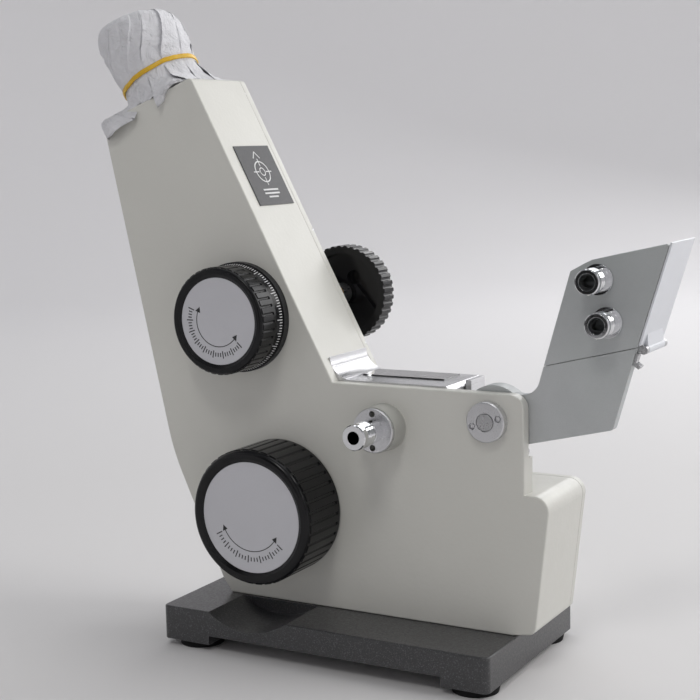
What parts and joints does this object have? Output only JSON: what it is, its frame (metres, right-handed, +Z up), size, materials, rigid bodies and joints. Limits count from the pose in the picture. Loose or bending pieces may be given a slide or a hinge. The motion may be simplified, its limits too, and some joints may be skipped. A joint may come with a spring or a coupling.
{
  "type": "refractometer",
  "caption": "Bench Abbe refractometer with hinged incidence prism, measuring and dispersion knobs, swinging mirror, hose connectors and tilted eyepiece.",
  "frame": {"origin": "on the table, at the middle of the base's footprint", "axes": "+X along the body towards the hinged prism, +Y away from the knob side, +Z up"},
  "size_m": [0.2491, 0.0902, 0.2542],
  "materials": {
    "body_paint": "light grey enamel, slightly satin",
    "base_paint": "dark grey hammered enamel",
    "rubber": "matte",
    "steel": "turned, satin",
    "polished_aluminium": "bright machined",
    "chrome": "polished",
    "satin_grey": "satin metallic grey",
    "optical_glass": "polished",
    "frosted_glass": "ground",
    "black_metal": "matte black",
    "black_plastic": "moulded, gloss",
    "black_rubber": "soft, matte",
    "silver_disc": "fine satin",
    "bronze": "machined",
    "mirror": "silvered",
    "label": "printed film",
    "paper": "crinkled tissue paper",
    "yellow_band": "stretched elastic",
    "white_plate": "smooth white"
  },
  "bodies": {
    "root": {"base": "base_paint", "rubber_feet": "rubber", "bottom_screws": "steel", "body_shell": "body_paint", "far_cover": "body_paint", "cover_screws": "steel", "cove_strip": "polished_aluminium", "label_plate": "label", "refraction_seat": "polished_aluminium", "refraction_prism": "optical_glass", "hose_nipples": "chrome", "spanner_flanges": "polished_aluminium", "thermometer_seat": "chrome", "scale_window": "frosted_glass", "window_ring": "black_metal", "compensator_housing": "black_metal", "telescope_tube": "black_metal", "objective_lens": "optical_glass", "reticle": "optical_glass", "eyepiece_sleeve": "black_metal", "tissue_wrap": "paper", "rubber_band": "yellow_band", "reading_tube": "black_metal", "reading_optics": "optical_glass", "shaft_bushes": "bronze", "dispersion_collar": "black_metal", "hinge_pins": "steel", "hinge_cap": "polished_aluminium", "hinge_washers": "steel", "flap_bracket": "polished_aluminium"},
    "adjust_knob": {"adjust_knob": "black_plastic", "adjust_disc": "silver_disc", "adjust_shaft": "steel"},
    "swing_mirror": {"mirror_cradle": "black_metal", "swing_mirror": "mirror", "sector_gear": "bronze", "scale_arm": "black_metal", "scale_glass": "optical_glass"},
    "dispersion_knob": {"dispersion_knob": "black_plastic", "dispersion_disc": "silver_disc", "dispersion_scale": "black_plastic", "dispersion_shaft": "steel"},
    "lower_cell": {"lower_cell": "black_metal", "lower_amici_prism": "optical_glass"},
    "upper_cell": {"upper_cell": "black_metal", "upper_amici_prism": "optical_glass"},
    "prism_cover": {"hinge_arm": "satin_grey", "incidence_seat": "satin_grey", "incidence_prism": "optical_glass", "incidence_nipples": "chrome", "seat_fasteners": "steel", "shade_hinge": "steel"},
    "shade": {"shade_plate": "white_plate"},
    "mirror_flap": {"mirror_flap": "polished_aluminium", "flap_mirror": "mirror"},
    "lock_wheel": {"lock_wheel": "black_plastic", "lock_shaft": "steel"},
    "eyepiece": {"eyepiece_barrel": "black_plastic", "eye_cup": "black_rubber", "eyepiece_lenses": "optical_glass"}
  },
  "joints": [
    {"name": "adjust_spin", "type": "hinge", "parent": "root", "child": "adjust_knob", "pos_m": [-0.0312, 0, 0.0562], "axis": [0, 1, 0], "range_deg": [-120, 120]},
    {"name": "mirror_swing", "type": "hinge", "parent": "root", "child": "swing_mirror", "pos_m": [-0.02469, 0, 0.08333], "axis": [0, 1, 0], "range_deg": [-14.5, 14.5]},
    {"name": "dispersion_spin", "type": "hinge", "parent": "root", "child": "dispersion_knob", "pos_m": [-0.048, 0, 0.1314], "axis": [0, 1, 0], "continuous": true},
    {"name": "upper_cell_spin", "type": "hinge", "parent": "root", "child": "upper_cell", "pos_m": [-0.048, 0.0043, 0.1314], "axis": [-0.4617, 0, 0.887], "continuous": true},
    {"name": "lower_cell_spin", "type": "hinge", "parent": "root", "child": "lower_cell", "pos_m": [-0.048, 0.0043, 0.1314], "axis": [-0.4617, 0, 0.887], "continuous": true},
    {"name": "prism_hinge", "type": "hinge", "parent": "root", "child": "prism_cover", "pos_m": [0.05915, 0, 0.0969], "axis": [0, -1, 0], "range_deg": [0, 106.4]},
    {"name": "shade_hinge", "type": "hinge", "parent": "prism_cover", "child": "shade", "pos_m": [0.11543, 0, 0.12503], "axis": [0, 1, 0], "range_deg": [0, 100]},
    {"name": "flap_hinge", "type": "hinge", "parent": "root", "child": "mirror_flap", "pos_m": [0.0424, 0, 0.0974], "axis": [0, 1, 0], "range_deg": [0, 60]},
    {"name": "lock_turn", "type": "hinge", "parent": "root", "child": "lock_wheel", "pos_m": [-0.0282, 0, 0.1368], "axis": [0, 1, 0], "range_deg": [0, 168]},
    {"name": "focus_turn", "type": "hinge", "parent": "root", "child": "eyepiece", "pos_m": [-0.048, 0.0043, 0.1314], "axis": [-0.4617, 0, 0.887], "range_deg": [-150, 150]}
  ],
  "couplings": [
    {"joint": "mirror_swing", "follows": "adjust_spin", "ratio": -0.12048},
    {"joint": "upper_cell_spin", "follows": "dispersion_spin", "ratio": 0.5},
    {"joint": "lower_cell_spin", "follows": "dispersion_spin", "ratio": -0.5}
  ]
}
